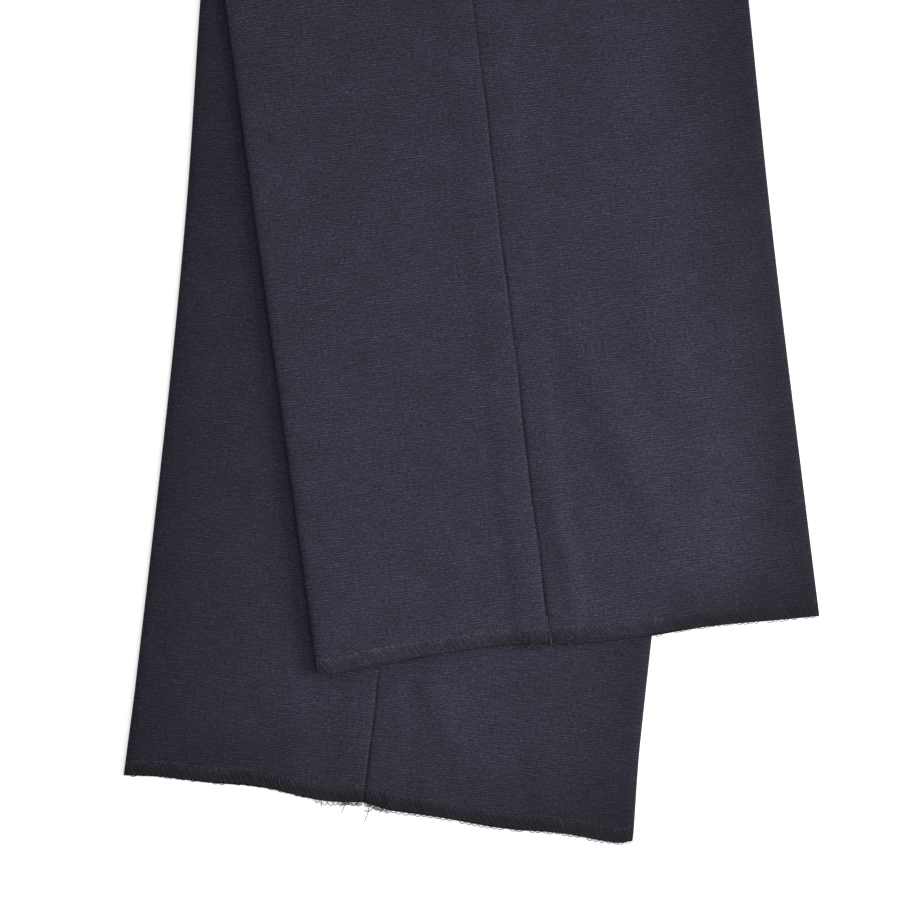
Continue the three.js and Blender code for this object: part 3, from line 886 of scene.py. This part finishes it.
def ply_point(leg, side, ply, across, from_edge, lift):
    """Points on a ply's outer face near the hem, lifted off it, in millimetres."""
    up = hem_at(leg, across, 0.0 if shows(leg, ply) else 1.0) + from_edge
    centre = cut_at(f"{leg}_{side}", up) + inwards[side] * crease_depth
    past = np.clip((centre - across) * inwards[side] / crease_depth, 0, 1)
    rounding = leg_stack / 2 * (1 - np.sqrt(1 - past**2))
    height = (leg_stack - rounding) if ply == "outer" else rounding
    relief = relief_at(leg, side, across, up) * showing(leg, height)
    lifted = height + lift if ply == "outer" else height - lift
    return placed[leg](across, up, lifted, relief)


def hem_thread(leg, side, ply, ends, points, thick, light=1.0):
    """One thread of the hem: points are across, from the edge, and lift, kept between the ends."""
    across, from_edge, lift = (np.asarray(v, float) + np.zeros(len(points[0])) for v in points)
    across = np.clip(across, *ends)
    upward = np.clip(from_edge / serged_width, 0, 1)
    # The tone from the table is partly painted shade.
    tone = curve_through(serging_cover_and_painted_shade[leg], 2, across) * (edge_tone + line_tone * upward**3) * light
    return ply_point(leg, side, ply, across, from_edge, lift), thick, tone


# Loops of thread stand off the raw edge. Columns: from and to across, their spacing, the share of
# them that shows, and the least and most that they stand out.
edge_loops = {
    "left": [
        (-102, -20, 2.4, 0.4, 0.2, 0.6), (-20, 30, 2.4, 0.5, 0.2, 0.7), (30, 119, 2.7, 0.8, 0.5, 1.0),
    ],
    "right": [
        (-105, -21, 2.4, 0.45, 0.2, 0.6), (-21, -1, 2.6, 1.0, 1.2, 1.9), (-1, 119, 2.8, 0.94, 0.65, 1.25),
    ],
}
loop_tone = 1.9
loop_thick = 1.2


loop_curve, loop_lean = 0.8, 0.2


def edge_loop_paths(leg, side, ply, ends, rng):
    """Loops off the lower of the two plies' edges, which is the one seen against the surface."""
    if not shows(leg, ply):
        return []
    paths = []
    t = np.linspace(0, 1, 11)
    bulge = np.sin(math.pi * t) ** loop_curve
    for low, high, spacing, share, least, most in edge_loops[leg]:
        for start in np.arange(max(low, ends[0]), min(high, ends[1]) - spacing / 2, spacing):
            out = rng.uniform(least, most)
            wide = spacing * rng.uniform(0.8, 1.2)
            lean = rng.uniform(-loop_lean, loop_lean)
            if rng.uniform() < share:
                across = start + wide * (t + lean * bulge)
                hang = curve_through(under_hem[leg], 1, across)
                points = (across, 0.15 - hang - out * bulge, -0.9 - 0.4 * bulge)
                paths.append(hem_thread(leg, side, ply, ends, points, loop_thick, loop_tone))
    return paths


# How uneven the stitches are: slant, bow and line by millimetres, and the rest by share.
uneven = dict(place=0.14, wide=0.08, slant=0.6, hook=0.2, bow=0.4, light=0.16, thick=0.14, line=0.14)
pale_share, paler = 0.08, 0.5
run_in = 2.5
short_of_crease, short_of_seam = 0.5, 0.4


def serging_paths(leg, side, ply, rng):
    """The overlock along one ply's hem: slanting strands hooked over the needle line, edge loops."""
    crease = float(cut_at(f"{leg}_{side}", 0.0)) + inwards[side] * short_of_crease
    seam = float(seam_wander(0.0)) - inwards[side] * short_of_seam
    low, high = ends = sorted((crease, seam))
    climb = np.linspace(0, hook_from, 7)
    hook_turn = math.pi * np.linspace(0.12, 0.88, 5)
    hook_rise = hook_from + (1 - hook_from) * np.sin(hook_turn)
    rise = np.concatenate([climb, hook_rise, climb[::-1]])

    def vary(kind):
        return uneven[kind] * rng.standard_normal()

    paths = []
    for i in range(int((high - low) / stitch_pitch) + 4):
        start = low + (i - run_in + vary("place")) * stitch_pitch
        wide = serged_width * (1 + vary("wide"))
        slant = stitch_slant + vary("slant")
        hook = hook_width * (1 + vary("hook"))
        bow = vary("bow")
        sunk = 0.02 + 0.06 * math.sin(start / 9.0 + rng.uniform(0, 0.8))
        light = 1.0 + vary("light") + (paler if rng.uniform() < pale_share else 0.0)
        bent = bow * np.sin(math.pi * climb / hook_from)
        going = start + slant * (1 - climb) + bent
        coming = start + hook + (slant + stitch_pitch - hook) * (1 - climb) - 0.6 * bent
        over = start + slant * (1 - hook_from) + hook / 2 * (1 - np.cos(hook_turn))
        across = np.concatenate([going, over, coming[::-1]])
        lift = sunk + 0.1 * np.sin(math.pi * rise) + 0.05 * rise
        points = (across, wide * rise - 0.2 * (1 - rise), lift)
        paths.append(hem_thread(leg, side, ply, ends, points, 1 + vary("thick"), light))
    t = np.linspace(0, 1, 8)
    for i in range(int((high - low) / needle_stitch)):
        across = low + i * needle_stitch + 0.93 * needle_stitch * t
        line = (across, serged_width + 0.1 + vary("line"), 0.16 * np.sin(math.pi * t) + 0.04)
        paths.append(hem_thread(leg, side, ply, ends, line, 0.85, 0.65 + 0.25 * rng.uniform()))
    return paths + edge_loop_paths(leg, side, ply, ends, rng)


# Where the serging crosses a seam its threads bunch and fray. Columns: leg, ply, side, how many
# curls, from and to across, and from and to off the edge.
bunches = [
    ("left", "outer", "front", 44, -22.0, -1.0, -0.6, 3.8),
    ("left", "outer", "back", 34, 1.0, 20.0, -0.5, 4.0),
    ("left", "inner", "front", 46, -15.4, -2.5, -2.4, 0.2),
    ("left", "inner", "back", 16, 1.0, 12.0, -1.0, 0.4),
    ("right", "inner", "front", 24, -10.0, -0.5, -1.6, 2.0),
    ("right", "inner", "back", 24, 1.0, 12.0, -1.6, 2.0),
    ("right", "outer", "front", 12, -9.0, -0.5, -1.2, 1.0),
    ("right", "outer", "back", 12, 1.0, 10.0, -1.2, 1.0),
]


def curl(leg, ply, side, low_across, high_across, low_off, high_off, rng):
    """A loose curl of thread: an uneven turn or so, tilted against the cloth."""
    middle = rng.uniform(low_across, high_across)
    off = rng.uniform(low_off, high_off)
    turns = rng.uniform(0.5, 1.2) * 2 * math.pi * np.linspace(0, 1, 9) + rng.uniform(0, 6)
    wide, tall = rng.uniform(0.35, 1.1), rng.uniform(0.3, 0.8)
    lift = 0.25 + 0.22 * np.sin(turns + rng.uniform(0, 6))
    points = (middle + wide * np.cos(turns), off + tall * np.sin(turns), lift)
    return hem_thread(leg, side, ply, (low_across - 1.2, high_across + 1.2), points, 0.85, 1.3)


# Cut ends of thread hang off the lower seam. Each is a run of places across and up its leg, with
# its height above the surface, from the hem outwards.
tails = {
    "right": [
        [(-18.0, 0.0, 1.2), (-18.2, -2.2, 0.7), (-17.9, -4.8, 0.3)],
        [(-6.2, -0.6, 1.2), (-7.6, -2.3, 0.7), (-8.9, -6.4, 0.3)],
        [(-9.6, -1.0, 1.1), (-7.4, -2.0, 0.7), (-5.6, -2.2, 0.5)],
        [(3.0, 0.6, 1.4), (2.8, -1.5, 0.9), (2.7, -4.5, 0.5), (1.5, -9.1, 0.2)],
        [(6.6, -0.8, 1.3), (5.4, -1.6, 0.9), (3.1, -4.1, 0.5), (0.9, -3.9, 0.3)],
        [(9.6, -1.0, 1.2), (9.0, -2.1, 0.7), (7.5, -4.4, 0.3)],
    ],
    "left": [
        [(-6.0, -0.4, 4.6), (-7.4, -2.4, 3.9), (-9.6, -3.1, 3.3)],
        [(3.0, 0.5, 5.2), (4.6, -1.6, 4.3), (7.2, -2.0, 3.4)],
    ],
}
tail_tone = 1.9
tail_thick = 1.35


def smooth_path(points, count=14):
    """A smooth run through a few points."""
    points = np.asarray(points, float)
    at = np.linspace(0, len(points) - 1, count)
    rows = np.column_stack([np.arange(len(points)), points])
    return np.column_stack([curve_through(rows, k + 1, at) for k in range(points.shape[1])])


def tail_path(leg, points):
    """A cut end's run from the hem outwards, placed on the surface."""
    run = smooth_path(points)
    x, y = on_leg(leg, run[:, 0], run[:, 1])
    return np.column_stack([x, y, run[:, 2]])


def thread_piece(name, paths, radius, material):
    piece = thread_mesh(name, paths, radius)
    piece.data.materials.append(material)
    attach(piece, "root")
    return piece


serging_seed = {"right": 5, "left": 9}
for leg in ("right", "left"):
    rng = np.random.default_rng(serging_seed[leg])
    for ply in ("outer", "inner"):
        paths = []
        for side in ("front", "back"):
            paths += serging_paths(leg, side, ply, rng)
        for bunch_leg, bunch_ply, side, count, *spread in bunches:
            if (bunch_leg, bunch_ply) == (leg, ply):
                paths += [curl(leg, ply, side, *spread, rng) for _ in range(count)]
        if shows(leg, ply):
            paths += [(tail_path(leg, points), tail_thick, tail_tone) for points in tails[leg]]
        name = f"{leg}_hem_{ply}_serging"
        thread_piece(name, paths, thread_radius, serging_thread)

# The outseam was sewn with a paler thread. Its last stitches have come out at the upper hem, and
# the two twisted strands lie over the serging.
loose_start, loose_end = 9.4, -3.0
loose_turn = 1.5
sewing_radius = 0.13
twist = 0.13
loose_thread = make_thread("pale_thread", (0.082, 0.085, 0.092), 0.7)


def loose_strand(phase):
    t = np.linspace(0, 1, 46)
    up = loose_start + (loose_end - loose_start) * t
    turn_angle = 2 * math.pi * (up / loose_turn) + phase
    across = 0.2 + 0.7 * t**2 + twist * np.cos(turn_angle)
    lift = 0.34 + twist * np.sin(turn_angle)
    return ply_point("left", "back", "outer", across, up - hem_at("left", across), lift)


strands = [(loose_strand(0), 1, 1), (loose_strand(math.pi), 1, 1)]
thread_piece("left_outseam_loose_thread", strands, sewing_radius, loose_thread)

# The bands are edge-stitched just above their seam with the same thread as the hems, in stitches
# that sink a little into the knit.
band_stitch, band_stitch_gap, band_stitch_up = 2.4, 0.3, 2.2


def band_stitching(leg):
    paths = []
    t = np.linspace(0, 1, 6)
    up = waist_seam + band_stitch_up
    low = float(cut_at(f"{leg}_front", up)) + crease_depth
    high = float(cut_at(f"{leg}_back", up)) - crease_depth
    for start in np.arange(low, high - band_stitch, band_stitch + band_stitch_gap):
        across = start + band_stitch * t
        lift = leg_stack + 0.12 * np.sin(math.pi * t) - 0.06
        paths.append((placed[leg](across, np.full(len(t), up), lift, 0.0), 1.0, 0.9))
    return thread_piece(f"{leg}_waistband_stitching", paths, sewing_radius, serging_thread)


stitching = {leg: band_stitching(leg) for leg in bands}

# Each panel and band half is a piece of cloth of its own cut, laid flat with its serging on it. The loop
# below only splits each panel's name into its leg and side.
for node, piece in panels.items():
    leg, side = node.split("_")

# The fly zip lies in the front rise, closed, between the two legs. Its teeth are nickel, clamped by
# turns on the edges of two woven tapes.
zip_foot, zip_chain_top = 925.0, 1088.0
zip_middle = 14.6
tooth_pitch = 1.4
tooth_long, tooth_past, tooth_half, tooth_thick, tooth_chamfer = 0.95, 0.6, 2.0, 2.3, 0.25
# Levels of a tooth, face to face. Columns: how much fuller it is, how high.
tooth_levels = [(-1, -1), (0, -0.6), (0, 0.6), (-1, 1)]


def tooth_points(up, side):
    """A tooth's corners: a chamfered block that reaches past the middle from one side."""
    ring = []
    for full, level in tooth_levels:
        more = full * tooth_chamfer
        near, far = (more - tooth_past) * side, (tooth_half + more) * side
        low, high = up - more - tooth_long / 2, up + more + tooth_long / 2
        for across, along in ((near, low), (far, low), (far, high), (near, high)):
            ring.append((across, along, level * tooth_thick / 2))
    return ring


def zip_place(points):
    across, up, height = np.array(points, float).T
    x, y = on_leg("right", inner_edge("front", up) + zip_middle + across, up)
    return np.column_stack([x, y, (leg_stack + air / 2) * growth(up) + height])


def face_each_out(mesh):
    """Turns the faces of a mesh of many closed pieces so that they all face out."""
    work = bmesh.new()
    work.from_mesh(mesh)
    bmesh.ops.recalc_face_normals(work, faces=work.faces)
    work.to_mesh(mesh)
    work.free()


def zip_teeth():
    verts, faces = [], []
    for i, up in enumerate(np.arange(zip_foot + 1, zip_chain_top - 0.5, tooth_pitch)):
        faces += tube_faces(len(verts), len(tooth_levels), 4)
        verts += tooth_points(up, 1 if i % 2 else -1)
    mesh = new_mesh("zip_teeth", zip_place(verts), faces)
    face_each_out(mesh)
    return new_object("zip_teeth", mesh)


def stretched_object(tree, place, across_scale, up_scale):
    """Object coordinates turned in line with the lower leg and stretched."""
    mapping = tree.nodes.new("ShaderNodeMapping")
    mapping.inputs["Rotation"].default_value = (0, 0, -lay["right"]["lean"])
    mapping.inputs["Scale"].default_value = (across_scale, up_scale, across_scale)
    feed(tree, place, mapping.inputs["Vector"])
    return mapping.outputs[0]


nickel_colour = (0.55, 0.56, 0.58)


def make_nickel():
    """Plain nickel plate: fine scratches, duller where it has been handled."""
    material, tree, shader = plain_principled("nickel", nickel_colour, 0.35)
    place = tree.nodes.new("ShaderNodeTexCoord").outputs["Object"]
    handled = noise_on(tree, place, 260.0, 3)
    scratch = noise_on(tree, stretched_object(tree, place, 900.0, 6000.0), 1.0, 2)
    rough = math_node(tree, "MULTIPLY_ADD", scratch, 0.16, 0.06)
    feed(tree, math_node(tree, "MULTIPLY_ADD", handled, 0.4, rough), shader.inputs["Roughness"])
    tone = math_node(tree, "MULTIPLY_ADD", handled, -0.34, 1.16)
    feed(tree, scaled_colour(tree, nickel_colour, tone), shader.inputs["Base Color"])
    shader.inputs["Metallic"].default_value = 1.0
    add_bump(tree, shader, scratch, 0.25, 0.00004)
    return material


tape_colour = (0.018, 0.019, 0.026)
herringbone_turn = 2.0
herringbone_pitch = 0.55


def make_zip_tape():
    """Herringbone tape: slanting ribs that turn round every 2 mm, in near-black yarn."""
    material, tree, shader = plain_principled("zip_tape", tape_colour, 0.8)
    place = tree.nodes.new("ShaderNodeTexCoord").outputs["Object"]
    parts = tree.nodes.new("ShaderNodeSeparateXYZ")
    feed(tree, stretched_object(tree, place, 1000.0, 1000.0), parts.inputs[0])
    turned = math_node(tree, "PINGPONG", parts.outputs[0], herringbone_turn)
    slanted = math_node(tree, "ADD", turned, parts.outputs[1])
    rib = wave_on(tree, math_node(tree, "DIVIDE", slanted, herringbone_pitch))
    fibre = noise_on(tree, place, 2600.0, 3)
    shade = math_node(tree, "ADD", math_node(tree, "MULTIPLY_ADD", rib, 0.28, fibre), 0.5)
    feed(tree, scaled_colour(tree, tape_colour, shade), shader.inputs["Base Color"])
    add_bump(tree, shader, rib, 0.6, 0.0001)
    feed(tree, math_node(tree, "MULTIPLY_ADD", fibre, 0.3, 0.65), shader.inputs["Roughness"])
    return material


nickel = make_nickel()
zip_tape = make_zip_tape()
teeth = zip_teeth()
teeth.data.materials.append(nickel)
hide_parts("zip_chain")
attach(teeth, "root")

# The tapes, slider, pull, hook and bar keep the solids' own shapes.
for name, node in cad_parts.items():
    if name.startswith(("zip_", "waist_")):
        node.data.materials.clear()
        node.data.materials.append(zip_tape if name.startswith("zip_tape") else nickel)
